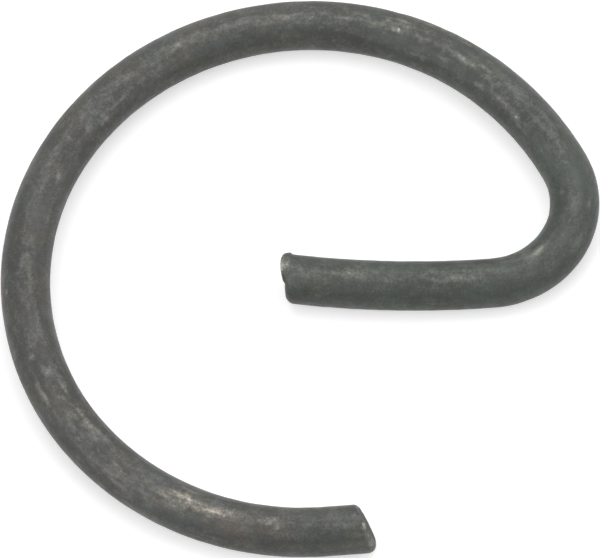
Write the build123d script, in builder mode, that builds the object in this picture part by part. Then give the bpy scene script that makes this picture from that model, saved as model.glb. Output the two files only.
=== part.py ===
"""Wire retaining ring for a small piston pin, bent from one length of round spring wire.

The ring lies in the XY plane, with the wire's centreline at Z = 0 and the origin at the centre
of its round part. From the free end the wire runs clockwise, seen from above: round the ring,
over a slightly flatter shoulder, through a tight bend, and back to the centre as a tang.
Millimetres and degrees throughout.
"""

from build123d import *

import os
from math import asin, degrees, sqrt

# Driving dimensions: the wire's path, in the free state
WIRE_DIAMETER = 1.2
RING_OUTER_DIAMETER = 14.8
FREE_END_ANGLE = -90.0  # where the round part gives way to the straight free end, from +X
FREE_END_LENGTH = 1.075  # of the straight free end
SHOULDER_ANGLE = 47.0  # where the round part gives way to the shoulder, from +X
SHOULDER_RADIUS = 7.6  # of the centreline
BEND_RADIUS = 2.12  # of the centreline
TANG_DROP = 0.5  # how far the tang's root lies below the ring's centre, along -Y
TANG_RADIUS = 24.0  # the slight set left in the tang, bowing it towards +Y
TANG_OVERRUN = 0.495  # how far the tang runs past the ring's centre, along -X

# Driving dimensions: the sheared ends
FREE_CUT_LEAN = 17.5  # the free end's cut leans back towards the ring's centre
FREE_CUT_RISE = 15.0  # and towards +Z
FREE_CUT_ROUNDING = 0.18
TIP_SHEAR_ANGLE = 26.0  # the way the shears went through the tang's tip, from +Y towards +Z
TIP_CUT_LEAN = 6.5  # the cut stands further out the further the shears went
TIP_CUT_ROUNDING = 0.18
LIP_RADIUS = 0.5  # of the lip that the shears tore and pushed up on the tip
LIP_HEIGHT = 0.04  # how far the lip stands above the wire's side
LIP_START = 0.1  # where the lip starts on the cut, short of the wire's axis
LIP_STEP = 0.035  # the step up from the cut to the lip
LIP_LEAN = 12.0  # from there the lip's face leans out beyond the cut
LIP_LENGTH = 0.2  # how far the lip reaches back from the cut
LIP_ROUNDING = 0.22  # of the lip's outer rim
LIP_BLEND = 0.05  # of its inner rim

# The wire's section and the arcs of its centreline. Each arc meets the next one on the line
# through both centres, so the wire runs on without a corner.
wire_radius = WIRE_DIAMETER / 2
ring_radius = RING_OUTER_DIAMETER / 2 - wire_radius
shoulder_start = Vector(ring_radius, 0).rotate(Axis.Z, SHOULDER_ANGLE)
shoulder_centre = shoulder_start * (1 - SHOULDER_RADIUS / ring_radius)
bend_offset = SHOULDER_RADIUS - BEND_RADIUS
bend_rise = BEND_RADIUS - TANG_DROP - shoulder_centre.Y
bend_centre = shoulder_centre + Vector(sqrt(bend_offset**2 - bend_rise**2), bend_rise)
bend_angle = degrees(asin(bend_rise / bend_offset))
tang_centre = Vector(bend_centre.X, TANG_RADIUS - TANG_DROP)
tang_turn = degrees(asin((bend_centre.X + TANG_OVERRUN) / TANG_RADIUS))

# The wire is bent a little long at each end, and the cuts take the rest off
cut_allowance = WIRE_DIAMETER
tang_allowance = degrees(cut_allowance / TANG_RADIUS)

# The planes of the cuts, each with Z pointing out of the wire's end. At the free end X points to
# the ring's centre and Y up. At the tang's tip X points the way the shears went.
ring_end_radial = Vector(1, 0).rotate(Axis.Z, FREE_END_ANGLE)
ring_end = Plane(
    origin=ring_end_radial * ring_radius,
    x_dir=-ring_end_radial,
    z_dir=ring_end_radial.rotate(Axis.Z, 90),
)
free_end = ring_end.offset(FREE_END_LENGTH)
free_cut = Plane(free_end * Rotation(-FREE_CUT_RISE, FREE_CUT_LEAN, 0))
tip_radial = Vector(0, -1).rotate(Axis.Z, -tang_turn)
tang_end = Plane(
    origin=tang_centre + tip_radial * TANG_RADIUS,
    x_dir=-tip_radial,
    z_dir=tip_radial.rotate(Axis.Z, -90),
)
tip_cut = Plane(tang_end * Rotation(0, 0, -TIP_SHEAR_ANGLE) * Rotation(0, -TIP_CUT_LEAN, 0))
lip_cut = Plane(tip_cut * Location((-LIP_START, 0, LIP_STEP), (0, -LIP_LEAN, 0)))

# The lip is a round slice of metal, cut straight where it starts and mostly sunk in the tip
with BuildPart() as lip:
    with BuildSketch(tip_cut.offset(-LIP_LENGTH)):
        with Locations((wire_radius + LIP_HEIGHT - LIP_RADIUS, 0)):
            Circle(LIP_RADIUS)
        with Locations((-LIP_START, 0)):
            Rectangle(
                WIRE_DIAMETER,
                WIRE_DIAMETER,
                align=(Align.MIN, Align.CENTER),
                mode=Mode.INTERSECT,
            )
    extrude(amount=WIRE_DIAMETER)
    split(bisect_by=lip_cut, keep=Keep.BOTTOM)
    lip_rims = lip.edges().filter_by(GeomType.LINE, reverse=True)
    inner_rim, outer_rim = lip_rims.sort_by(Axis(tip_cut.origin, tip_cut.z_dir))
    fillet(outer_rim, LIP_ROUNDING)
    fillet(inner_rim, LIP_BLEND)

with BuildPart() as ring:
    # The round wire, carried along its whole path
    wire_start = free_end.offset(cut_allowance)
    with BuildLine():
        Line(wire_start.origin, ring_end.origin)
        CenterArc((0, 0), ring_radius, FREE_END_ANGLE, SHOULDER_ANGLE - 360 - FREE_END_ANGLE)
        CenterArc(shoulder_centre, SHOULDER_RADIUS, SHOULDER_ANGLE, bend_angle - SHOULDER_ANGLE)
        CenterArc(bend_centre, BEND_RADIUS, bend_angle, -90 - bend_angle)
        CenterArc(tang_centre, TANG_RADIUS, -90, -tang_turn - tang_allowance)
    with BuildSketch(wire_start):
        Circle(wire_radius)
    sweep()

    # The free end, cut aslant
    with BuildSketch(free_cut):
        Circle(WIRE_DIAMETER)
    extrude(amount=2 * cut_allowance, mode=Mode.SUBTRACT)
    free_face = ring.faces().filter_by(GeomType.PLANE).sort_by_distance(free_cut.origin)[0]
    fillet(free_face.edges(), FREE_CUT_ROUNDING)

    # The tang's tip, cut square, with the lip on it
    with BuildSketch(tip_cut):
        Circle(WIRE_DIAMETER)
    extrude(amount=2 * cut_allowance, mode=Mode.SUBTRACT)
    tip_face = ring.faces().filter_by(GeomType.PLANE).sort_by_distance(tip_cut.origin)[0]
    fillet(tip_face.edges(), TIP_CUT_ROUNDING)
    add(lip.part)

ring.part.label = "retaining_ring"
os.makedirs("parts", exist_ok=True)
export_step(ring.part, "parts/retaining_ring.step")
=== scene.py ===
"""Retaining ring of round spring wire, dressed as oil-blackened steel.

The ring is one length of wire. It leaves a sheared free end along a short straight,
goes round most of a circle, eases over a flatter shoulder, turns back through a tight
bend and runs along a nearly straight tang to a second sheared end with a torn lip.

The wire is one surface. Along it runs the distance from the free end, around it the
angle about the centre line, and both ends close in a point at the middle of their cut.
Lengths are in metres, and MM turns millimetres into metres.
"""

from __future__ import annotations

import logging
import math
from dataclasses import dataclass, field
from enum import Enum

import bpy
import numpy as np
from mathutils import Matrix, Vector


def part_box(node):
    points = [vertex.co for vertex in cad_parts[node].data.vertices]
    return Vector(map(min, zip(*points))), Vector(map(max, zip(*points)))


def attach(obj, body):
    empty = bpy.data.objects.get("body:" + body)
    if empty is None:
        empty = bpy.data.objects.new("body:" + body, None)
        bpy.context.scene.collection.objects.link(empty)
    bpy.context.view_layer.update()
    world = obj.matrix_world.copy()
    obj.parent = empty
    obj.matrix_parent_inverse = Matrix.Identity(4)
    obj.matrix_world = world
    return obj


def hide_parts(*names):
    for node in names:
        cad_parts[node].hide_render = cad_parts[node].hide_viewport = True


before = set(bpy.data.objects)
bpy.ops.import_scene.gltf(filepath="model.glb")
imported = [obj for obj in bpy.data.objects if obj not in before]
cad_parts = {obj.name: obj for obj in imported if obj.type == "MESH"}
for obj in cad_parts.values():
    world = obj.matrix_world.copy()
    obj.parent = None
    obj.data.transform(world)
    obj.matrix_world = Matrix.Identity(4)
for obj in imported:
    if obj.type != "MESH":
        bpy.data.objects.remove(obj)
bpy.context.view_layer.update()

MM = 0.001
NODE = "retaining_ring"
BODY = "root"
LOG = logging.getLogger("retaining_ring")


def smooth_step(value: np.ndarray, start: float, end: float) -> np.ndarray:
    """Eases from 0 to 1 as value goes from start to end.

    With t the share of the way, held between 0 and 1, the result is 3 t squared
    less 2 t cubed.

    Args:
        value: The numbers to ease.
        start: Where the result leaves 0.
        end: Where the result reaches 1.

    Returns:
        An array of the same shape, between 0 and 1.
    """
    share = np.clip((value - start) / (end - start), 0.0, 1.0)
    return share * share * (3.0 - 2.0 * share)


@dataclass(frozen=True)
class WaveNoise:
    """Even-sized random unevenness: a sum of plane waves in random directions.

    Attributes:
        wavelength: Middle wavelength of the waves.
        stretch: How many times longer the waves are along the first coordinate.
        seed: Start of the random draw.
        waves: How many waves are added.
        shortest: Shortest wavelength, as a share of the middle one.
        longest: Longest wavelength, as a share of the middle one.
    """

    wavelength: float
    stretch: float
    seed: int
    waves: int = 48
    shortest: float = 0.6
    longest: float = 1.7

    def at(self, points: np.ndarray) -> np.ndarray:
        """Adds the cosines of (wave vector dot point, plus phase) and scales the sum.

        Args:
            points: Places on the straight wire, with the coordinates last.

        Returns:
            The unevenness at each place, with a spread of about 1.
        """
        draw = np.random.default_rng(self.seed)
        direction = draw.normal(size=(self.waves, 3))
        direction /= np.linalg.norm(direction, axis=1)[:, None]
        direction[:, 0] /= self.stretch
        rate = 2.0 * math.pi / (self.wavelength * draw.uniform(self.shortest, self.longest, self.waves))
        phase = draw.uniform(0.0, 2.0 * math.pi, self.waves)
        total = np.zeros(points.shape[:-1])
        for vector, shift in zip(direction * rate[:, None], phase):
            total += np.cos(points @ vector + shift)
        return total * math.sqrt(2.0 / self.waves)


# --------------------------------------------------------------------------------------
# The centre line
# --------------------------------------------------------------------------------------


@dataclass(frozen=True)
class Straight:
    """A straight run of the centre line, from a point along a heading.

    Attributes:
        start_x: Where the run starts, to the right of the ring's centre.
        start_y: Where it starts, towards the back.
        heading: Angle of travel, from +X towards +Y.
        length: Length of the run.
    """

    start_x: float
    start_y: float
    heading: float
    length: float

    def place(self, along: np.ndarray) -> tuple[np.ndarray, np.ndarray, np.ndarray]:
        """The start, plus the distance along times the heading's direction.

        Args:
            along: Distances from the start of the run.

        Returns:
            The x, the y and the heading at each distance.
        """
        x = self.start_x + along * math.cos(self.heading)
        y = self.start_y + along * math.sin(self.heading)
        return x, y, np.full_like(along, self.heading)


@dataclass(frozen=True)
class Arc:
    """A clockwise arc of the centre line, between two angles about its centre.

    Attributes:
        centre_x: Its centre, to the right of the ring's centre.
        centre_y: Its centre, towards the back.
        radius: Its radius.
        start_angle: Angle at which it starts, from +X towards +Y.
        end_angle: Angle at which it ends, which is the smaller one.
    """

    centre_x: float
    centre_y: float
    radius: float
    start_angle: float
    end_angle: float

    @property
    def length(self) -> float:
        """Radius times the angle that the arc turns through."""
        return self.radius * (self.start_angle - self.end_angle)

    def place(self, along: np.ndarray) -> tuple[np.ndarray, np.ndarray, np.ndarray]:
        """The angle falls by distance over radius, and the heading is a quarter turn less.

        Args:
            along: Distances from the start of the run.

        Returns:
            The x, the y and the heading at each distance.
        """
        angle = self.start_angle - along / self.radius
        x = self.centre_x + self.radius * np.cos(angle)
        y = self.centre_y + self.radius * np.sin(angle)
        return x, y, angle - math.pi / 2


@dataclass(frozen=True)
class WireLine:
    """The wire's centre line, in the ring's own plane, from free end to tang tip.

    Attributes:
        ring_radius: Radius of the round part.
        free_end_angle: Where the round part meets the free end's straight.
        free_end_length: Length of that straight.
        shoulder_angle: Where the round part eases into the shoulder.
        shoulder_radius: Radius of the shoulder.
        bend_radius: Radius of the return bend.
        tang_drop: How far the tang's lowest point lies below the ring's centre.
        tang_radius: Radius of the tang's slight bow.
        tang_overrun: How far the tang runs past the ring's centre.
        runs: The runs in order, worked out from the values above.
        starts: Distance from the free end at which each run starts.
        length: Length of the whole line.
    """

    ring_radius: float
    free_end_angle: float = math.radians(-90.0)
    free_end_length: float = 1.075 * MM
    shoulder_angle: float = math.radians(47.0)
    shoulder_radius: float = 7.6 * MM
    bend_radius: float = 2.12 * MM
    tang_drop: float = 0.5 * MM
    tang_radius: float = 24.0 * MM
    tang_overrun: float = 0.495 * MM
    runs: tuple[Straight | Arc, ...] = field(init=False)
    starts: np.ndarray = field(init=False)
    length: float = field(init=False)

    def __post_init__(self) -> None:
        """Places each run so that it leaves the one before it without a corner."""
        heading = self.free_end_angle - math.pi / 2
        ring_x = self.ring_radius * math.cos(self.free_end_angle)
        ring_y = self.ring_radius * math.sin(self.free_end_angle)
        free_end = Straight(
            ring_x - self.free_end_length * math.cos(heading),
            ring_y - self.free_end_length * math.sin(heading),
            heading,
            self.free_end_length,
        )
        ring = Arc(0.0, 0.0, self.ring_radius, self.free_end_angle, self.shoulder_angle - 2 * math.pi)
        setback = self.ring_radius - self.shoulder_radius
        shoulder_x = setback * math.cos(self.shoulder_angle)
        shoulder_y = setback * math.sin(self.shoulder_angle)
        bend_offset = self.shoulder_radius - self.bend_radius
        bend_y = self.bend_radius - self.tang_drop
        bend_rise = bend_y - shoulder_y
        bend_x = shoulder_x + math.sqrt(bend_offset**2 - bend_rise**2)
        bend_angle = math.asin(bend_rise / bend_offset)
        shoulder = Arc(shoulder_x, shoulder_y, self.shoulder_radius, self.shoulder_angle, bend_angle)
        lowest = -math.pi / 2
        bend = Arc(bend_x, bend_y, self.bend_radius, bend_angle, lowest)
        tang_y = self.tang_radius - self.tang_drop
        tang_turn = math.asin((bend_x + self.tang_overrun) / self.tang_radius)
        tang = Arc(bend_x, tang_y, self.tang_radius, lowest, lowest - tang_turn)
        runs = (free_end, ring, shoulder, bend, tang)
        ends = np.cumsum([run.length for run in runs])
        object.__setattr__(self, "runs", runs)
        object.__setattr__(self, "starts", np.concatenate(([0.0], ends[:-1])))
        object.__setattr__(self, "length", float(ends[-1]))

    def place(self, along: np.ndarray) -> tuple[np.ndarray, np.ndarray]:
        """Each distance takes the formula of the run it falls on.

        The first and last runs carry on past their ends.

        Args:
            along: Distances from the free end.

        Returns:
            The centre line's points and its outward directions, which lie a quarter
            turn to the left of travel.
        """
        x, y, heading = (np.empty_like(along) for _ in range(3))
        on_run = np.clip(np.searchsorted(self.starts, along, side="right") - 1, 0, len(self.runs) - 1)
        for number, run in enumerate(self.runs):
            here = on_run == number
            x[here], y[here], heading[here] = run.place(along[here] - self.starts[number])
        flat = np.zeros_like(x)
        points = np.stack((x, y, flat), axis=-1)
        outward = np.stack((-np.sin(heading), np.cos(heading), flat), axis=-1)
        return points, outward


# --------------------------------------------------------------------------------------
# The sheared ends
# --------------------------------------------------------------------------------------


@dataclass(frozen=True)
class TornLip:
    """The half-moon of metal that the shear tore and pushed over on the tang's tip.

    Attributes:
        direction: Angle from outward, towards up, in which the lip stands.
        start: How far behind the middle of the cut the lip's front edge lies.
        step: Height of that front edge.
        lean: Angle by which the lip first rises towards the rim.
        crown: How strongly that rise bends over, as height lost per squared distance.
        radius: Radius of the half-moon.
        centre: Distance of the half-moon's centre from the middle of the cut.
        softness: Half-width of the front edge's rounding. The outer edge is rounded a little more.
        burr: How far the rolled burr behind the lip stands out past the round wire.
        burr_back: How far back from the cut the burr is highest.
        burr_length: Half-length of the burr along the wire.
        burr_width: Half-width of the burr around the wire, as an angle.
    """

    direction: float = math.radians(154.0)
    start: float = 0.10 * MM
    step: float = 0.036 * MM
    lean: float = math.radians(14.7)
    crown: float = 0.12 / MM
    radius: float = 0.52 * MM
    centre: float = 0.11 * MM
    softness: float = 0.035 * MM
    burr: float = 0.055 * MM
    burr_back: float = 0.10 * MM
    burr_length: float = 0.17 * MM
    burr_width: float = math.radians(34.0)

    def height(self, across: np.ndarray, up: np.ndarray) -> np.ndarray:
        """The step, plus the rise past the front edge, cut off outside the half-moon.

        The rise is the distance past that edge times the lean, less the crown times
        the square of that distance.

        Args:
            across: Outward distances from the wire's middle.
            up: Upward distances from the wire's middle.

        Returns:
            How far the lip stands out of the cut at each place.
        """
        ahead = across * math.cos(self.direction) + up * math.sin(self.direction)
        aside = up * math.cos(self.direction) - across * math.sin(self.direction)
        past = np.maximum(ahead + self.start, 0.0)
        rise = self.step + past * math.tan(self.lean) - self.crown * past**2
        front = smooth_step(ahead + self.start, -self.softness, self.softness)
        reach = np.hypot(ahead - self.centre, aside)
        half_moon = 1.0 - smooth_step(reach, self.radius - self.softness, self.radius + 2.0 * self.softness)
        return rise * front * half_moon

    def swell(self, around: np.ndarray, from_end: np.ndarray) -> np.ndarray:
        """The burr's height: a bell around the wire, and a flat-topped bell along it.

        Args:
            around: Angles about the centre line, from outward towards up.
            from_end: Distances back from the cut.

        Returns:
            How far the wire's side is pushed out at each place.
        """
        turn = np.angle(np.exp(1j * (around - self.direction))) / self.burr_width
        back = (from_end - self.burr_back) / self.burr_length
        return self.burr * np.exp(-(turn**2) - back**4)


@dataclass(frozen=True)
class ShearedEnd:
    """One sheared end of the wire: a slanted cut with a rounded rim.

    Attributes:
        slope_across: Reach gained for each length outward.
        slope_up: Reach gained for each length upward.
        rounding: Radius of the rim where it is sharpest.
        drag: Radius that the rim gains where the blade dragged it over.
        drag_direction: Angle from outward, towards up, of the dragged side.
        seed: Start of the draw for the cut's grain.
        lip: The torn lip, where the end has one.
        grain_height: Height of the tear marks.
        grain_width: Width of the tear marks.
        grain_stretch: How many times longer than wide they are.
        blend_length: Length over which the slant fades out along the wire.
    """

    slope_across: float
    slope_up: float
    rounding: float
    drag: float
    drag_direction: float
    seed: int
    lip: TornLip | None = None
    grain_height: float = 0.003 * MM
    grain_width: float = 0.13 * MM
    grain_stretch: float = 4.0
    blend_length: float = 1.6 * MM

    def rim(self, around: np.ndarray) -> np.ndarray:
        """The rim's radius: the rounding, plus the drag, which fades away from its own side.

        It fades as the fourth power of the cosine of half the angle from that side.

        Args:
            around: Angles about the centre line.

        Returns:
            The rim's radius at each angle.
        """
        return self.rounding + self.drag * np.cos((around - self.drag_direction) / 2) ** 4

    def reach(self, across: np.ndarray, up: np.ndarray) -> np.ndarray:
        """A plane over the middle of the cut, plus the lip.

        Args:
            across: Outward distances from the wire's middle.
            up: Upward distances from the wire's middle.

        Returns:
            How far the metal stands past the end of the centre line.
        """
        plane = across * self.slope_across + up * self.slope_up
        return plane if self.lip is None else plane + self.lip.height(across, up)

    def grain(self, across: np.ndarray, up: np.ndarray) -> np.ndarray:
        """Fine tear marks across the cut, from waves that are long in the shearing direction.

        Args:
            across: Outward distances from the wire's middle.
            up: Upward distances from the wire's middle.

        Returns:
            A small height, up or down, at each place on the cut.
        """
        marks = WaveNoise(self.grain_width, self.grain_stretch, self.seed)
        points = np.stack((across, up, np.zeros_like(across)), axis=-1)
        return self.grain_height * marks.at(points)


# --------------------------------------------------------------------------------------
# The wire
# --------------------------------------------------------------------------------------


@dataclass(frozen=True)
class Patch:
    """An oval place on the wire where the blackening has worn more, or less, than around it.

    Attributes:
        along: Distance of the patch's middle from the free end, in millimetres.
        around: Angle of its middle about the wire, in degrees from outward towards up.
        length: Half-length along the wire, in millimetres.
        width: Half-width around the wire, in millimetres.
        strength: How much wear it adds or takes away. 1 bares the steel.
    """

    along: float
    around: float
    length: float
    width: float
    strength: float


# Most of the rubbing lies along the top of the wire, where the flat ring slides on
# its neighbours, and the rest on its shoulders.
RUBBED_PATCHES = (
    # The free end, mostly the rim of its cut.
    Patch(-0.03, 20.0, 0.09, 0.22, 0.66),
    Patch(0.04, 48.0, 0.08, 0.22, 0.82),
    Patch(0.09, 75.0, 0.07, 0.18, 1.35),
    Patch(0.7, 85.0, 0.26, 0.15, 0.6),
    # The low arc.
    Patch(2.18, 74.0, 0.12, 0.08, 0.85),
    Patch(2.35, 88.0, 0.32, 0.16, 0.85),
    Patch(3.0, 93.0, 0.25, 0.12, 0.72),
    Patch(3.5, 88.0, 0.45, 0.2, 0.85),
    Patch(3.77, 68.0, 0.18, 0.09, 0.95),
    Patch(4.1, 85.0, 0.7, 0.22, 0.78),
    Patch(4.5, 87.0, 0.4, 0.24, 0.92),
    Patch(4.85, 76.0, 0.42, 0.11, 0.68),
    Patch(5.65, 60.0, 0.22, 0.11, 0.72),
    Patch(6.0, 74.0, 0.55, 0.26, 0.55),
    # The left side.
    Patch(7.9, 106.0, 0.5, 0.07, 0.7),
    Patch(8.0, 89.0, 0.22, 0.1, 0.62),
    Patch(8.87, 108.0, 0.3, 0.08, 1.02),
    Patch(9.0, 57.0, 0.6, 0.08, 0.64),
    Patch(9.42, 92.0, 0.18, 0.13, 0.92),
    Patch(9.92, 72.0, 0.12, 0.07, 0.95),
    Patch(10.8, 109.0, 0.5, 0.08, 0.6),
    Patch(11.75, 42.0, 0.08, 0.06, 1.0),
    Patch(12.1, 103.0, 0.5, 0.09, 0.68),
    # The upper left.
    Patch(14.2, 131.0, 0.5, 0.09, 0.45),
    Patch(15.0, 117.0, 0.3, 0.12, 0.62),
    Patch(16.5, 116.0, 0.22, 0.11, 0.6),
    Patch(16.9, 132.0, 0.4, 0.1, 0.5),
    Patch(17.0, 104.0, 0.45, 0.12, 0.45),
    Patch(17.9, 124.0, 0.8, 0.1, 0.5),
    # The top.
    Patch(19.6, 93.0, 0.35, 0.11, 0.85),
    Patch(20.9, 91.0, 1.1, 0.13, 0.6),
    Patch(22.4, 92.0, 0.5, 0.13, 0.66),
    Patch(22.95, 96.0, 0.22, 0.11, 0.85),
    Patch(23.8, 95.0, 0.5, 0.1, 0.6),
    # The upper right.
    Patch(25.1, 100.0, 0.24, 0.08, 1.05),
    Patch(25.17, 99.0, 0.08, 0.06, 1.5),
    Patch(27.05, 98.0, 0.33, 0.1, 0.86),
    # The shoulder.
    Patch(27.5, 89.0, 0.25, 0.07, 0.72),
    Patch(27.66, 128.0, 0.2, 0.08, 0.75),
    Patch(27.9, 96.0, 0.45, 0.09, 0.6),
    Patch(28.7, 127.0, 0.6, 0.14, 0.7),
    Patch(28.99, 123.0, 0.12, 0.08, 1.05),
    Patch(29.6, 93.0, 0.4, 0.08, 0.45),
    # The return bend.
    Patch(30.8, 92.0, 0.2, 0.06, 0.75),
    Patch(31.58, 119.0, 0.12, 0.07, 0.7),
    Patch(31.9, 52.0, 0.15, 0.07, 0.6),
    Patch(32.7, 50.0, 0.35, 0.12, 0.45),
    Patch(33.55, 101.0, 0.42, 0.13, 0.88),
    Patch(33.9, 122.0, 0.8, 0.16, 0.45),
    # The tang.
    Patch(35.6, 77.0, 0.45, 0.09, 0.6),
    Patch(36.2, 76.0, 0.35, 0.11, 0.62),
    Patch(38.3, 90.0, 0.7, 0.1, 0.6),
    # The rim of the tip.
    Patch(39.8, 97.0, 0.09, 0.24, 0.92),
    Patch(39.9, 117.0, 0.09, 0.2, 0.85),
    Patch(39.93, 94.0, 0.09, 0.28, 1.45),
)

# Places where the blackening has stayed whole.
WHOLE_PATCHES = (
    Patch(1.44, 95.0, 0.35, 0.13, 0.45),
    Patch(8.4, 75.0, 0.3, 0.12, 0.4),
    Patch(8.8, 80.0, 0.3, 0.11, 0.4),
    Patch(9.85, 91.0, 0.2, 0.12, 0.55),
    Patch(10.85, 88.0, 0.4, 0.16, 0.45),
    Patch(13.6, 102.0, 0.45, 0.16, 0.4),
    Patch(24.8, 127.0, 0.4, 0.13, 0.45),
    Patch(25.6, 121.0, 0.4, 0.14, 0.45),
    Patch(26.3, 116.0, 0.25, 0.12, 0.45),
    Patch(31.05, 76.0, 0.45, 0.22, 0.6),
    Patch(31.1, 113.0, 0.3, 0.13, 0.5),
    Patch(32.8, 97.0, 0.25, 0.13, 0.55),
    Patch(34.5, 97.0, 0.25, 0.13, 0.45),
    Patch(37.1, 99.0, 0.3, 0.12, 0.45),
)


@dataclass(frozen=True)
class Relief:
    """Shallow unevenness from drawing and coiling, always inward.

    Attributes:
        depth: Depth for each unit of unevenness.
        level: What is added before the sum is cut off at 0.
        long_waves: Unevenness drawn out along the wire.
        long_share: How strongly it counts.
        short_waves: Finer unevenness, nearly round.
        short_share: How strongly it counts.
        dents: Where the scattered dents lie.
        dent_share: How strongly they count.
        dent_level: How high the dents' waves have to be to make a dent.
    """

    depth: float = 0.004 * MM
    level: float = 0.5
    long_waves: WaveNoise = WaveNoise(wavelength=0.9 * MM, stretch=4.0, seed=11)
    long_share: float = 0.45
    short_waves: WaveNoise = WaveNoise(wavelength=0.42 * MM, stretch=1.3, seed=12)
    short_share: float = 0.35
    dents: WaveNoise = WaveNoise(wavelength=0.75 * MM, stretch=1.0, seed=13)
    dent_share: float = 0.8
    dent_level: float = 1.1

    def at(self, straight: np.ndarray) -> np.ndarray:
        """The depth times the weighted sum plus the level, cut off at 0.

        So the surface only ever sinks below the true round.

        Args:
            straight: Places on the straight wire.

        Returns:
            How deep the surface lies below the true round.
        """
        uneven = self.long_share * self.long_waves.at(straight)
        uneven += self.short_share * self.short_waves.at(straight)
        uneven += self.dent_share * np.maximum(self.dents.at(straight) - self.dent_level, 0.0)
        return self.depth * np.maximum(uneven + self.level, 0.0)


@dataclass(frozen=True)
class SpringWire:
    """The whole wire: its surface, its relief and where it is rubbed.

    Attributes:
        line: The centre line.
        radius: Radius of the wire.
        free_end: The cut at the free end.
        tip: The cut at the end of the tang.
        relief: The unevenness of the wire's side.
        rubbed_patches: Where the blackening is rubbed.
        whole_patches: Where it has stayed whole.
        patch_depth: How deep a patch reaches down a cut, in half-widths.
        crest_around: Angle about the wire of the crest's faint band, which is partly rubbing and partly a
            painted highlight from the lamps above.
        crest_width: Half-width of that band.
        crest_wear_and_highlight: How far the blackening has gone along it; part of this is rubbing and part
            a painted highlight.
        side_rings: Rings of the mesh along the wire's side.
        around_count: Points around each ring.
        cut_rings: Rings on each cut.
        rim_rings: Rings on each rounded rim.
    """

    line: WireLine
    radius: float
    free_end: ShearedEnd
    tip: ShearedEnd
    relief: Relief = Relief()
    rubbed_patches: tuple[Patch, ...] = RUBBED_PATCHES
    whole_patches: tuple[Patch, ...] = WHOLE_PATCHES
    patch_depth: float = 1.5
    # The crest band lightens the top of the wire: partly rubbing, partly a painted highlight where the
    # lamps above light it.
    crest_around: float = math.radians(90.0)
    crest_width: float = 0.25 * MM
    crest_wear_and_highlight: float = 0.34
    side_rings: int = 1190
    around_count: int = 72
    cut_rings: int = 16
    rim_rings: int = 9

    def stations(self, around: np.ndarray) -> tuple[np.ndarray, np.ndarray, np.ndarray]:
        """One row for each ring of the mesh, from the free end's cut to the tip's.

        The two ends come from end_stations. On the side only the distance grows.

        Args:
            around: The mesh's angles about the centre line.

        Returns:
            For each ring and angle, the distance along the wire without the cut's
            slant, the radius without relief, and whether it lies on the cut (1), the
            rim (between) or the side (0).
        """
        free_rim, tip_rim = self.free_end.rim(around), self.tip.rim(around)
        free_back, free_radius, free_cut = self.end_stations(free_rim)
        tip_back, tip_radius, tip_cut = self.end_stations(tip_rim)
        step = (np.arange(1, self.side_rings + 1) / (self.side_rings + 1))[:, None]
        side = free_rim + (self.line.length - tip_rim - free_rim) * step
        along = np.concatenate((free_back, side, self.line.length - tip_back[::-1]))
        radius = np.concatenate((free_radius, np.full_like(side, self.radius), tip_radius[::-1]))
        return along, radius, np.concatenate((free_cut, np.zeros_like(side), tip_cut[::-1]))

    def end_stations(self, rim: np.ndarray) -> tuple[np.ndarray, np.ndarray, np.ndarray]:
        """The rings of one cut and its rim, from the middle outwards.

        On a cut the radius grows evenly up to the rim. On the rim, with t going from 0
        to a quarter turn, the radius gains the rim's radius times sin t and the surface
        falls back by it times (1 less cos t).

        Args:
            rim: The rim's radius at each angle.

        Returns:
            For each ring and angle, how far it lies back from the cut, its radius, and
            whether it lies on the cut (1), the rim (between) or the side (0).
        """
        turn = np.linspace(0.0, math.pi / 2, self.rim_rings + 1)[1:, None]
        share = (np.arange(1, self.cut_rings + 1) / self.cut_rings)[:, None]
        flat = self.radius - rim
        back = np.concatenate((np.zeros_like(flat * share), rim * (1.0 - np.cos(turn))))
        radius = np.concatenate((flat * share, flat + rim * np.sin(turn)))
        on_cut = np.concatenate((np.ones_like(share), np.cos(turn)))
        return back, radius, np.broadcast_to(on_cut, radius.shape)

    def straight_wire(self, along: np.ndarray, radius: np.ndarray, around: np.ndarray) -> np.ndarray:
        """Places on the wire before it was bent: (distance, radius cos angle, radius sin angle)."""
        return np.stack((along, radius * np.cos(around), radius * np.sin(around)), axis=-1)

    def rubbed_and_highlight(self, along: np.ndarray, around: np.ndarray, radius: np.ndarray) -> np.ndarray:
        """The strongest of the rubbed patches and the crest's faint band, less the whole patches.

        The band is a bell around the wire, partly rubbing and partly a painted highlight along the wire's
        top. On a cut it fades towards the cut's middle, as the patches do.

        Args:
            along: Distances from the free end.
            around: Angles about the centre line.
            radius: Distances from the centre line.

        Returns:
            The wear at each place, with the band's painted highlight in it: 0 where the blackening has its
            usual thickness.
        """
        inward = self.radius - radius
        # The crest band: wear and a painted highlight along the top of the wire.
        off_crest = (around - self.crest_around) * self.radius / self.crest_width
        total = self.crest_wear_and_highlight * np.exp(-(off_crest**2) - (inward / self.crest_width) ** 2)
        for patch in self.rubbed_patches:
            total = np.maximum(total, self.bell(patch, along, around, inward))
        for patch in self.whole_patches:
            total = total - self.bell(patch, along, around, inward)
        return total

    def bell(self, patch: Patch, along: np.ndarray, around: np.ndarray, inward: np.ndarray) -> np.ndarray:
        """One patch: its strength times exp of minus the squared distance in half-sizes.

        Args:
            patch: The patch.
            along: Distances from the free end.
            around: Angles about the centre line.
            inward: Depths below the wire's side.

        Returns:
            The patch's strength at each place.
        """
        turn = np.angle(np.exp(1j * (around - math.radians(patch.around))))
        off_along = (along / MM - patch.along) / patch.length
        off_around = turn * self.radius / (patch.width * MM)
        off_inward = inward / (self.patch_depth * patch.width * MM)
        return patch.strength * np.exp(-(off_along**2) - off_around**2 - off_inward**2)

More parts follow.
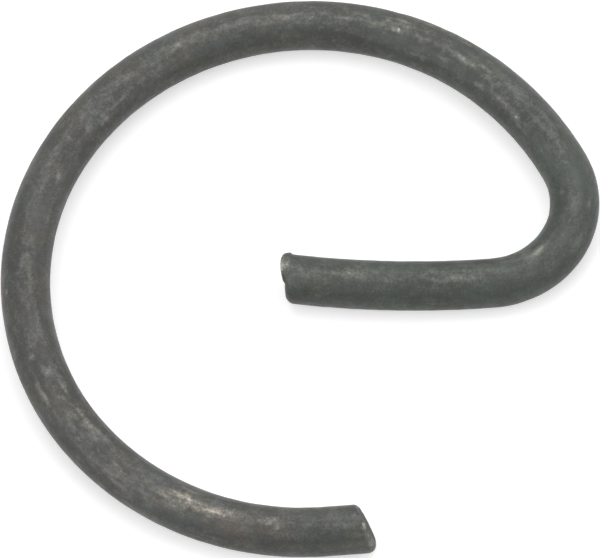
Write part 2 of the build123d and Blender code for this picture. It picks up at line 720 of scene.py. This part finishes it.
    def build(self) -> bpy.types.Object:
        """Makes the closed surface and the attributes that its finish reads.

        A point lies at the centre line's point, plus its radius times (cos angle times
        outward plus sin angle times up). Near an end every ring slides along the wire
        by the cut's reach, less and less until the slant has faded out.

        Returns:
            The wire as an object at the origin.
        """
        around = np.linspace(0.0, 2 * math.pi, self.around_count, endpoint=False)
        along, radius, cut = self.stations(around)
        angle = np.broadcast_to(around, along.shape)
        side = 1.0 - cut
        radius = radius - self.relief.at(self.straight_wire(along, radius, angle)) * side
        from_tip = self.line.length - along
        if self.tip.lip is not None:
            radius = radius + self.tip.lip.swell(angle, from_tip) * np.sqrt(side)
        across, up = radius * np.cos(angle), radius * np.sin(angle)
        slid = along - self.slide(self.free_end, along, across, up, cut)
        slid = slid + self.slide(self.tip, from_tip, across, up, cut)
        points, outward = self.line.place(slid)
        surface = points + across[..., None] * outward
        surface[..., 2] += up
        # The rubbing attribute carries the wear and the crest's painted highlight.
        attributes = {
            "straight_wire": self.straight_wire(slid, radius, angle) / MM,
            "rubbed_and_highlight": self.rubbed_and_highlight(slid, angle, radius),
            "sheared": cut,
        }
        return self.closed_mesh(surface, self.poles(), attributes)

    def dress(self, wire: bpy.types.Object, finish: BlackenedSteel) -> None:
        """Gives the wire its finish, which reads the attributes that build made."""
        wire.data.materials.append(finish.material())

    def slide(
        self, end: ShearedEnd, from_end: np.ndarray, across: np.ndarray, up: np.ndarray, cut: np.ndarray
    ) -> np.ndarray:
        """How far each place slides out along the wire to follow one end's cut.

        Args:
            end: The end.
            from_end: Distances back from that end.
            across: Outward distances from the wire's middle.
            up: Upward distances from the wire's middle.
            cut: 1 on a cut face, 0 on the side.

        Returns:
            The cut's reach and grain at the end, fading to nothing along the wire.
        """
        largest_rim = end.rounding + end.drag
        fade = 1.0 - smooth_step(from_end, largest_rim, largest_rim + end.blend_length)
        near = np.where(from_end < largest_rim, cut, 0.0)
        return fade * end.reach(across, up) + near * end.grain(across, up)

    def poles(self) -> np.ndarray:
        """The middles of the two cuts, which close the surface.

        Returns:
            The free end's point and the tip's.
        """
        zero = np.zeros(1)
        free_end, tip = (end.reach(zero, zero) + end.grain(zero, zero) for end in (self.free_end, self.tip))
        points, _ = self.line.place(np.concatenate((-free_end, self.line.length + tip)))
        return points

    def closed_mesh(
        self, surface: np.ndarray, poles: np.ndarray, attributes: dict[str, np.ndarray]
    ) -> bpy.types.Object:
        """Joins the grid of points into quads, with a fan of triangles at each pole.

        Args:
            surface: Points, by ring and by angle.
            poles: The two poles' points.
            attributes: Values by ring and angle, one number or three for each point.

        Returns:
            The finished object.
        """
        rings, count = surface.shape[:2]
        index = np.arange(rings * count).reshape(rings, count)
        turned = np.roll(index, -1, axis=1)
        quads = np.stack((index[:-1], turned[:-1], turned[1:], index[1:]), axis=-1).reshape(-1, 4)
        first_pole, last_pole = rings * count, rings * count + 1
        first_fan = np.stack((np.full(count, first_pole), turned[0], index[0]), axis=-1)
        last_fan = np.stack((np.full(count, last_pole), index[-1], turned[-1]), axis=-1)
        mesh = bpy.data.meshes.new("retaining_ring_wire")
        vertices = np.concatenate((surface.reshape(-1, 3), poles))
        mesh.from_pydata(vertices.tolist(), [], quads.tolist() + first_fan.tolist() + last_fan.tolist())
        mesh.polygons.foreach_set("use_smooth", np.ones(len(mesh.polygons), dtype=bool))
        for name, values in attributes.items():
            vector = values.ndim == 3
            ends = values[[0, -1]].mean(axis=1)
            flat = np.concatenate((values.reshape(rings * count, -1), ends.reshape(2, -1)))
            kind, slot = ("FLOAT_VECTOR", "vector") if vector else ("FLOAT", "value")
            layer = mesh.attributes.new(name, kind, "POINT")
            layer.data.foreach_set(slot, flat.ravel().astype(np.float32))
        mesh.update()
        mesh.validate()
        wire = bpy.data.objects.new("retaining_ring_wire", mesh)
        bpy.context.scene.collection.objects.link(wire)
        return wire


# --------------------------------------------------------------------------------------
# The finish
# --------------------------------------------------------------------------------------

Socket = bpy.types.NodeSocket
Colour = tuple[float, float, float, float]


def colour(red: float, green: float, blue: float) -> Colour:
    """A solid colour, in linear values."""
    return red, green, blue, 1.0


@dataclass(frozen=True)
class Ramp:
    """An eased change of level while some value goes from start to end.

    Attributes:
        start: The value at which the change starts.
        end: The value at which it is complete. It may be the lower of the two.
        before: The level on the start's side.
        after: The level on the end's side.
    """

    start: float
    end: float
    before: float = 0.0
    after: float = 1.0


@dataclass(frozen=True)
class Stretch:
    """A stretch of the wire on which a tone comes in and goes out again.

    Attributes:
        coming: How it comes in, in millimetres from the free end.
        going: How it goes out, read from its far side back to where it is full.
    """

    coming: Ramp
    going: Ramp


@dataclass(frozen=True)
class Cloud:
    """A soft random cloud on the straight wire, about 0.5 on average.

    Attributes:
        scale: How many of its cells fit in a millimetre across the wire.
        along: How many fit along the wire, as a share of that. Less is longer.
        detail: How many finer layers lie in it.
        roughness: How strong each layer is beside the coarser one before it.
    """

    scale: float
    along: float
    detail: float = 2.0
    roughness: float = 0.5


class Layer(Enum):
    """The clouds that the finish is made of.

    HUE turns the oxide from blue to brown, WIDE to SPECKLE go from the widest cloud to
    the finest specks, STREAK runs along the wire, and PITS show in rubbed steel.
    """

    HUE = Cloud(scale=1.7, along=0.6, roughness=0.6)
    WIDE = Cloud(scale=1.2, along=0.5)
    BLOTCH = Cloud(scale=3.2, along=0.7)
    MOTTLE = Cloud(scale=7.0, along=0.9, detail=3.0, roughness=0.6)
    SPECKLE = Cloud(scale=18.0, along=1.0, roughness=0.6)
    STREAK = Cloud(scale=8.0, along=0.14)
    PITS = Cloud(scale=12.0, along=0.8, roughness=0.6)


@dataclass(frozen=True)
class Recipe:
    """A sum of clouds.

    Attributes:
        start: What the sum starts from.
        weights: How strongly each cloud counts.
    """

    start: float
    weights: dict[Layer, float]


class Graph:
    """A short way to lay out the nodes of one material or surround."""

    def __init__(self, owner: bpy.types.Material | bpy.types.World) -> None:
        """Empties the owner's node tree and keeps it.

        Args:
            owner: The material or surround that the nodes are for.
        """
        owner.use_nodes = True
        self.tree = owner.node_tree
        self.tree.nodes.clear()

    def node(self, kind: str, inputs: dict[str | int, object], **settings: object) -> bpy.types.Node:
        """Adds a node, with its settings, and fills or links its inputs.

        Args:
            kind: Blender's name for the kind of node.
            inputs: A value or another node's output for each input.
            settings: The node's own settings.

        Returns:
            The new node.
        """
        made = self.tree.nodes.new(kind)
        for name, value in settings.items():
            setattr(made, name, value)
        for name, value in inputs.items():
            if isinstance(value, Socket):
                self.tree.links.new(value, made.inputs[name])
            else:
                made.inputs[name].default_value = value
        return made

    def attribute(self, name: str, output: str) -> Socket:
        """Reads one of the mesh's own attributes."""
        return self.node("ShaderNodeAttribute", {}, attribute_name=name).outputs[output]

    def noise(self, place: Socket, cloud: Cloud) -> Socket:
        """Draws a cloud on the straight wire.

        Args:
            place: The place on the straight wire, in millimetres.
            cloud: The cloud.

        Returns:
            Its value at that place.
        """
        drawn = self.node("ShaderNodeMapping", {"Vector": place, "Scale": (cloud.along, 1.0, 1.0)})
        inputs = {
            "Vector": drawn.outputs["Vector"],
            "Scale": cloud.scale,
            "Detail": cloud.detail,
            "Roughness": cloud.roughness,
        }
        return self.node("ShaderNodeTexNoise", inputs).outputs["Fac"]

    def ease(self, value: Socket, ramp: Ramp) -> Socket:
        """Follows a ramp as a value changes.

        Args:
            value: The value.
            ramp: The ramp.

        Returns:
            The ramp's level at that value.
        """
        inputs = {
            "Value": value,
            "From Min": ramp.start,
            "From Max": ramp.end,
            "To Min": ramp.before,
            "To Max": ramp.after,
        }
        return self.node("ShaderNodeMapRange", inputs, interpolation_type="SMOOTHSTEP").outputs["Result"]

    def math(self, operation: str, first: object, second: object) -> Socket:
        """One sum on two numbers."""
        return self.node("ShaderNodeMath", {0: first, 1: second}, operation=operation).outputs["Value"]

    def total(self, terms: tuple[tuple[Socket, float], ...], start: object) -> Socket:
        """Adds each value times its weight to the start.

        Args:
            terms: The values with their weights.
            start: A number or a value that the sum starts from.

        Returns:
            The sum.
        """
        result = start
        for value, weight in terms:
            added = self.node("ShaderNodeMath", {0: value, 1: weight, 2: result}, operation="MULTIPLY_ADD")
            result = added.outputs["Value"]
        return result

    def mix(self, share: object, first: object, second: object) -> Socket:
        """Goes from the first colour to the second as share goes from 0 to 1."""
        inputs = {"Factor": share, 6: first, 7: second}
        return self.node("ShaderNodeMix", inputs, data_type="RGBA").outputs[2]


class WireGraph(Graph):
    """The nodes of a finish on the wire, with what the finish reads at each place.

    along is the distance from the free end in millimetres, rubbed says how far the blackening is rubbed and
    holds the crest's painted highlight too, sheared is 1 on a cut and 0 on the wire's side, and clouds
    holds the value of each layer's cloud.
    """

    def __init__(self, material: bpy.types.Material) -> None:
        """Reads the mesh's attributes and draws every cloud on the straight wire.

        Args:
            material: The material that the nodes are for.
        """
        super().__init__(material)
        place = self.attribute("straight_wire", "Vector")
        self.along = self.node("ShaderNodeSeparateXYZ", {"Vector": place}).outputs["X"]
        # The rubbing holds the crest's painted highlight as well as the wear.
        self.rubbed_and_highlight = self.attribute("rubbed_and_highlight", "Fac")
        self.sheared = self.attribute("sheared", "Fac")
        self.clouds = {layer: self.noise(place, layer.value) for layer in Layer}

    def over(self, stretch: Stretch) -> Socket:
        """Comes in and goes out along a stretch of the wire."""
        coming, going = self.ease(self.along, stretch.coming), self.ease(self.along, stretch.going)
        return self.math("MINIMUM", coming, going)

    def blend(self, recipe: Recipe) -> Socket:
        """Adds each cloud of a recipe times its weight to the recipe's start."""
        terms = tuple((self.clouds[layer], weight) for layer, weight in recipe.weights.items())
        return self.total(terms, recipe.start)


@dataclass(frozen=True)
class BlackenedSteel:
    """Oil-blackened spring steel: a thin dark oxide, mottled, and rubbed pale in places.

    The oxide's tone is a sum of clouds. Its wear is the rubbing, which holds the crest's painted highlight,
    plus another sum of clouds: where the wear rises the oxide first turns pale, and then the steel is bare.

    Attributes:
        dark: The thickest oxide, which is also laid over the cuts as painted shade.
        warm_oxide: The usual oxide where it is slightly brown.
        cool_oxide: The usual oxide where it is slightly blue.
        green: The oxide on the tang, which is slightly green.
        green_share: How far the tang's oxide turns green.
        brown: The oxide where it is thin, in the warm places near both ends.
        grey: The thin oxide elsewhere.
        olive: The thin oxide on the tang.
        bare: Rubbed steel.
        bare_tang: Rubbed steel on the tang, still a little green.
        tanned: Rubbed steel in the warm places near both ends.
        hue_turn: How the hue's cloud turns the oxide from blue to brown.
        tone: What the oxide's tone is made of.
        tone_shade: How the tone turns the oxide from its darkest to its usual shade.
        tone_rough: How the tone makes the oxide smoother.
        tang: Where the green of the tang comes in and fades at the tip.
        free_end_green: How the same green comes in towards the free end.
        low_arc_warm: Where the low arc is warm.
        tip_warm: How the tip turns warm.
        wear: What makes the wear uneven.
        upper_left: Where the upper left and the top are worn a little less.
        upper_left_wear: How much wear that adds.
        low_arc: Where the low arc is worn more coarsely.
        upper_right: Where the upper right is worn more coarsely.
        coarse: What those two add to the wear.
        bend: Where the bend is worn more evenly.
        fine: What that adds to the wear.
        pit_size: How much of the pits' cloud makes a pit.
        pit_rubbed: How strongly the steel has to be rubbed before its pits show.
        pit_strength: How much wear a pit adds.
        thin: How wear makes the oxide pale.
        worn: How wear bares the steel.
        metal: How wear makes the surface metallic.
        cut_painted_shade: How a cut is darkened, as painted shade on the cut faces.
        cut_rough: How rough a cut is.
        specular: Strength of the oxide's reflections.
        height: What the grain's height is made of.
        bump_height: Height of that grain.
        bump_strength: How strongly it is shown.
    """

    dark: Colour = colour(0.0289, 0.0298, 0.0262)
    warm_oxide: Colour = colour(0.0741, 0.0658, 0.0552)
    cool_oxide: Colour = colour(0.0571, 0.0645, 0.0624)
    green: Colour = colour(0.0434, 0.0598, 0.0472)
    green_share: float = 0.85
    brown: Colour = colour(0.1479, 0.1404, 0.1209)
    grey: Colour = colour(0.1460, 0.1407, 0.1232)
    olive: Colour = colour(0.1411, 0.1472, 0.1252)
    bare: Colour = colour(0.3500, 0.3410, 0.3060)
    bare_tang: Colour = colour(0.3430, 0.3475, 0.3050)
    tanned: Colour = colour(0.4450, 0.3980, 0.3330)

    hue_turn: Ramp = Ramp(0.32, 0.68)
    tone: Recipe = Recipe(
        -1.725,
        {Layer.WIDE: 0.8, Layer.BLOTCH: 0.7, Layer.MOTTLE: 0.7, Layer.SPECKLE: 0.9, Layer.STREAK: 0.35},
    )
    tone_shade: Ramp = Ramp(-0.42, 0.42)
    tone_rough: Ramp = Ramp(-0.4, 0.4, before=0.55, after=0.42)

    tang: Stretch = Stretch(Ramp(15.0, 36.5), Ramp(39.5, 36.5, before=0.65))
    free_end_green: Ramp = Ramp(2.2, 0.6, after=0.5)
    low_arc_warm: Stretch = Stretch(Ramp(1.5, 3.5), Ramp(7.0, 5.0))
    tip_warm: Ramp = Ramp(39.6, 39.8, after=0.4)

    wear: Recipe = Recipe(
        -1.99, {Layer.BLOTCH: 0.8, Layer.MOTTLE: 0.95, Layer.SPECKLE: 0.95, Layer.STREAK: 0.60}
    )
    upper_left: Stretch = Stretch(Ramp(10.5, 13.0), Ramp(24.0, 21.0))
    upper_left_wear: float = -0.06
    low_arc: Stretch = Stretch(Ramp(3.0, 4.5), Ramp(9.5, 7.5))
    upper_right: Stretch = Stretch(Ramp(23.5, 25.0), Ramp(29.0, 27.5))
    coarse: Recipe = Recipe(
        -0.65, {Layer.BLOTCH: 0.5, Layer.MOTTLE: 0.35, Layer.SPECKLE: -0.35, Layer.STREAK: 0.8}
    )
    bend: Stretch = Stretch(Ramp(31.0, 32.5), Ramp(35.5, 34.5))
    fine: Recipe = Recipe(0.6, {Layer.MOTTLE: -0.8, Layer.SPECKLE: -0.4})
    pit_size: Ramp = Ramp(0.58, 0.78)
    pit_rubbed: Ramp = Ramp(0.3, 0.9)
    pit_strength: float = 0.8

    thin: Ramp = Ramp(-0.32, 0.80)
    worn: Ramp = Ramp(0.25, 1.15)
    metal: Ramp = Ramp(0.0, 1.2, after=0.4)
    # Painted shade on the cut faces.
    cut_painted_shade: Ramp = Ramp(0.7, 1.0, after=0.6)
    cut_rough: Ramp = Ramp(0.93, 1.0, after=0.8)
    specular: float = 0.4
    height: Recipe = Recipe(0.0, {Layer.MOTTLE: 1.2, Layer.SPECKLE: 0.7, Layer.STREAK: 0.6})
    bump_height: float = 0.006 * MM
    bump_strength: float = 0.7

    def material(self) -> bpy.types.Material:
        """Lays the oxide, its mottling, the rubbing, the grain and the cut faces over one another.

        Returns:
            The material.
        """
        material = bpy.data.materials.new("blackened_steel")
        graph = WireGraph(material)
        tone = graph.blend(self.tone)
        # The wear carries the crest's painted highlight along the top of the wire.
        wear = self.wear_over(graph)
        oxide_rough = graph.ease(tone, self.tone_rough)
        cut_rough = graph.ease(graph.sheared, self.cut_rough)
        height = graph.blend(self.height)
        bump_inputs = {"Strength": self.bump_strength, "Distance": self.bump_height, "Height": height}
        bump = graph.node("ShaderNodeBump", bump_inputs)
        surface_inputs = {
            "Base Color": self.base_colour(graph, tone, wear),
            "Metallic": graph.ease(wear, self.metal),
            "Roughness": graph.math("MAXIMUM", oxide_rough, cut_rough),
            "Specular IOR Level": self.specular,
            "Normal": bump.outputs["Normal"],
        }
        surface = graph.node("ShaderNodeBsdfPrincipled", surface_inputs)
        graph.node("ShaderNodeOutputMaterial", {"Surface": surface.outputs["BSDF"]})
        return material

    def wear_over(self, graph: WireGraph) -> Socket:
        """The rubbing with the crest's painted highlight, and its pits, plus the clouds, more coarsely or
        more evenly by stretch.

        Args:
            graph: The material's nodes.

        Returns:
            How worn the oxide is, with the crest's painted highlight in it.
        """
        pit = graph.ease(graph.clouds[Layer.PITS], self.pit_size)
        shown = graph.ease(graph.rubbed_and_highlight, self.pit_rubbed)
        coarse_place = graph.math("MAXIMUM", graph.over(self.low_arc), graph.over(self.upper_right))
        terms = (
            (graph.rubbed_and_highlight, 1.0),
            (graph.math("MULTIPLY", pit, shown), self.pit_strength),
            (graph.over(self.upper_left), self.upper_left_wear),
            (graph.math("MULTIPLY", coarse_place, graph.blend(self.coarse)), 1.0),
            (graph.math("MULTIPLY", graph.over(self.bend), graph.blend(self.fine)), 1.0),
        )
        return graph.total(terms, graph.blend(self.wear))

    def base_colour(self, graph: WireGraph, tone: Socket, wear: Socket) -> Socket:
        """The oxide in its shade, paler where it is thin, with painted shade on a cut, and then bare steel.

        Args:
            graph: The material's nodes.
            tone: The oxide's tone.
            wear: How worn the oxide is, with the crest's painted highlight in it.

        Returns:
            The colour.
        """
        free_end = graph.ease(graph.along, self.free_end_green)
        tang = graph.math("MAXIMUM", graph.over(self.tang), free_end)
        tip = graph.ease(graph.along, self.tip_warm)
        warm = graph.math("MAXIMUM", graph.over(self.low_arc_warm), tip)
        hue = graph.ease(graph.clouds[Layer.HUE], self.hue_turn)
        usual = graph.mix(hue, self.cool_oxide, self.warm_oxide)
        usual = graph.mix(graph.math("MULTIPLY", tang, self.green_share), usual, self.green)
        oxide = graph.mix(graph.ease(tone, self.tone_shade), self.dark, usual)
        pale = graph.mix(warm, graph.mix(tang, self.grey, self.olive), self.brown)
        base = graph.mix(graph.ease(wear, self.thin), oxide, pale)
        # Painted shade: the cut faces are darkened towards the darkest oxide.
        base = graph.mix(graph.ease(graph.sheared, self.cut_painted_shade), base, self.dark)
        bare = graph.mix(warm, graph.mix(tang, self.bare, self.bare_tang), self.tanned)
        return graph.mix(graph.ease(wear, self.worn), base, bare)


# --------------------------------------------------------------------------------------
# The studio
# --------------------------------------------------------------------------------------


@dataclass(frozen=True)
class Softbox:
    """A large even lamp that looks at the ring.

    Attributes:
        name: What the lamp is called.
        azimuth: Direction of the lamp, in degrees from +X towards +Y.
        elevation: Its height above the floor, in degrees.
        spread: Its width and depth as seen from the ring, in degrees.
        radiance: Its brightness, where 1 is white.
        distance: How far it stands from the ring's centre.
    """

    name: str
    azimuth: float
    elevation: float
    spread: float
    radiance: float
    distance: float = 0.4

    def build(self) -> None:
        """Makes the lamp square and turns its face to the ring.

        A square lamp of side s and power P shines with radiance P over (pi times s
        squared), so the power is set from the radiance that is wanted.
        """
        side = 2.0 * self.distance * math.tan(math.radians(self.spread / 2))
        lamp = bpy.data.lights.new(self.name, "AREA")
        lamp.shape = "SQUARE"
        lamp.size = side
        lamp.energy = self.radiance * math.pi * side**2
        made = bpy.data.objects.new(self.name, lamp)
        azimuth, elevation = math.radians(self.azimuth), math.radians(self.elevation)
        level = math.cos(elevation)
        towards = Vector((math.cos(azimuth) * level, math.sin(azimuth) * level, math.sin(elevation)))
        made.location = towards * self.distance
        made.rotation_mode = "QUATERNION"
        made.rotation_quaternion = towards.to_track_quat("Z", "Y")
        bpy.context.scene.collection.objects.link(made)


@dataclass(frozen=True)
class Studio:
    """A pale floor, a white surround and soft lamps.

    Attributes:
        floor_height: Height of the floor in the ring's frame.
        lamps: The soft lamps.
        floor_size: Side of the floor.
        fill: Brightness of the surround as plain light.
        floor_shade: How much of the light on it the floor gives back.
        floor_lift: Glow that keeps the floor white where it is seen directly.
        floor_glow: Glow of the floor as plain light.
    """

    floor_height: float
    lamps: tuple[Softbox, ...] = (
        Softbox("overhead_softbox", 0.0, 89.0, 50.0, 0.75),
        Softbox("rear_high_softbox", 90.0, 66.0, 50.0, 1.2),
        Softbox("rear_softbox", 90.0, 35.0, 50.0, 1.05),
        Softbox("left_softbox", 202.0, 38.0, 50.0, 2.25),
        Softbox("right_softbox", -18.0, 34.0, 50.0, 1.9),
        Softbox("rear_right_softbox", 40.0, 30.0, 50.0, 0.6),
        Softbox("front_low_softbox", -95.0, 20.0, 50.0, 0.15),
    )
    floor_size: float = 4.0
    fill: float = 0.02
    floor_shade: float = 0.75
    floor_lift: float = 0.45
    floor_glow: float = 0.22

    def build(self) -> None:
        """Makes the surround, the floor and the lamps."""
        self.surround()
        self.floor()
        for lamp in self.lamps:
            lamp.build()

    def seen_directly(self, graph: Graph) -> Socket:
        """Tells what is seen apart from plain light.

        Args:
            graph: The nodes of the floor or the surround.

        Returns:
            1 for what the camera, a reflection or glass sees, and 0 for plain light.
        """
        path = graph.node("ShaderNodeLightPath", {})
        seen = graph.math("MAXIMUM", path.outputs["Is Camera Ray"], path.outputs["Is Glossy Ray"])
        return graph.math("MAXIMUM", seen, path.outputs["Is Transmission Ray"])

    def surround(self) -> None:
        """White where it is seen, and a dimmer plain light on everything."""
        world = bpy.data.worlds.new("white_surround")
        bpy.context.scene.world = world
        graph = Graph(world)
        seen = self.seen_directly(graph)
        strength = graph.math("MAXIMUM", seen, self.fill)
        light = graph.node("ShaderNodeBackground", {"Color": colour(1.0, 1.0, 1.0), "Strength": strength})
        graph.node("ShaderNodeOutputWorld", {"Surface": light.outputs["Background"]})

    def floor(self) -> None:
        """A pale plane that shows the ring's shadow."""
        half = self.floor_size / 2
        corners = [(-half, -half), (half, -half), (half, half), (-half, half)]
        mesh = bpy.data.meshes.new("studio_floor")
        mesh.from_pydata([(x, y, self.floor_height) for x, y in corners], [], [(0, 1, 2, 3)])
        material = bpy.data.materials.new("floor_white")
        graph = Graph(material)
        shade = self.floor_shade
        plain = graph.node("ShaderNodeBsdfDiffuse", {"Color": colour(shade, shade, shade)})
        seen = graph.math("MULTIPLY", self.seen_directly(graph), self.floor_lift)
        lift = graph.math("MAXIMUM", seen, self.floor_glow)
        glow = graph.node("ShaderNodeEmission", {"Color": colour(1.0, 1.0, 1.0), "Strength": lift})
        both = graph.node("ShaderNodeAddShader", {0: plain.outputs["BSDF"], 1: glow.outputs["Emission"]})
        graph.node("ShaderNodeOutputMaterial", {"Surface": both.outputs["Shader"]})
        mesh.materials.append(material)
        made = bpy.data.objects.new("studio_floor", mesh)
        bpy.context.scene.collection.objects.link(made)


@dataclass(frozen=True)
class ViewCamera:
    """A long lens that looks down on the ring from the front.

    Attributes:
        elevation: Height of the view above the floor, in degrees.
        azimuth: How far the camera has gone round to the right, in degrees.
        roll: How far the camera is turned about its own line of sight, in degrees.
        distance: Distance from the ring's centre.
        field_width: Width of what the camera sees at the ring.
        aim_right: How far the camera aims to the right of the ring's centre.
        aim_up: How far it aims above the ring's centre.
        sensor_width: Width of the sensor, in millimetres.
        nearest: Nearest distance that it sees.
        farthest: Farthest distance that it sees.
    """

    elevation: float = 64.05
    azimuth: float = -0.50
    roll: float = 4.55
    distance: float = 600.0 * MM
    field_width: float = 14.485 * MM
    aim_right: float = -0.162 * MM
    aim_up: float = -0.031 * MM
    sensor_width: float = 36.0
    nearest: float = 60.0 * MM
    farthest: float = 6000.0 * MM

    def build(self) -> None:
        """Makes the camera and gives it to the scene."""
        degrees = (self.azimuth, self.elevation, self.roll)
        azimuth, elevation, roll = (math.radians(angle) for angle in degrees)
        right = Vector((math.cos(azimuth), -math.sin(azimuth), 0.0))
        ahead = Vector((math.sin(azimuth), math.cos(azimuth), 0.0))
        up = ahead * math.sin(elevation) + Vector((0.0, 0.0, math.cos(elevation)))
        back = Vector((0.0, 0.0, math.sin(elevation))) - ahead * math.cos(elevation)
        side = right * math.cos(roll) - up * math.sin(roll)
        top = right * math.sin(roll) + up * math.cos(roll)
        data = bpy.data.cameras.new("view_camera")
        data.sensor_width = self.sensor_width
        data.lens = self.sensor_width * self.distance / self.field_width
        data.clip_start, data.clip_end = self.nearest, self.farthest
        made = bpy.data.objects.new("view_camera", data)
        place = back * self.distance + side * self.aim_right + top * self.aim_up
        made.matrix_world = Matrix.Translation(place) @ Matrix((side, top, back)).transposed().to_4x4()
        bpy.context.scene.collection.objects.link(made)
        bpy.context.scene.camera = made


# --------------------------------------------------------------------------------------
# The ring as a whole
# --------------------------------------------------------------------------------------


def free_end_cut() -> ShearedEnd:
    """The free end's plain shear, leaning back inward and upward, with its outer rim dragged over.

    Returns:
        The cut.
    """
    lean, rise = math.radians(17.5), math.radians(15.0)
    return ShearedEnd(
        slope_across=math.tan(lean) / math.cos(rise),
        slope_up=-math.tan(rise),
        rounding=0.085 * MM,
        drag=0.25 * MM,
        drag_direction=math.radians(-37.0),
        seed=21,
    )


def tip_cut() -> ShearedEnd:
    """The tang's shear, which leans a little towards its torn lip.

    Returns:
        The cut.
    """
    lip = TornLip()
    lean = math.tan(math.radians(6.5))
    return ShearedEnd(
        slope_across=lean * math.cos(lip.direction),
        slope_up=lean * math.sin(lip.direction),
        rounding=0.18 * MM,
        drag=0.07 * MM,
        drag_direction=lip.direction,
        seed=22,
        lip=lip,
    )


def build_wire() -> SpringWire:
    """Takes the wire's and the ring's radius from the frame.

    Returns:
        The wire, ready to be built.
    """
    low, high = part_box(NODE)
    wire_radius = (high.z - low.z) / 2
    ring_radius = (high.y - low.y) / 2 - wire_radius
    return SpringWire(WireLine(ring_radius), wire_radius, free_end_cut(), tip_cut())


def main() -> None:
    """Builds the ring, dresses it, and sets the studio and the camera round it."""
    logging.basicConfig(level=logging.INFO, format="%(name)s: %(message)s")
    bpy.context.scene.view_settings.view_transform = "Standard"
    ViewCamera().build()
    low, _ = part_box(NODE)
    Studio(floor_height=low.z).build()
    ring = build_wire()
    wire = ring.build()
    ring.dress(wire, BlackenedSteel())
    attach(wire, BODY)
    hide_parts(NODE)
    LOG.info("%s: %d faces", wire.name, len(wire.data.polygons))


if __name__ == "__main__":
    main()
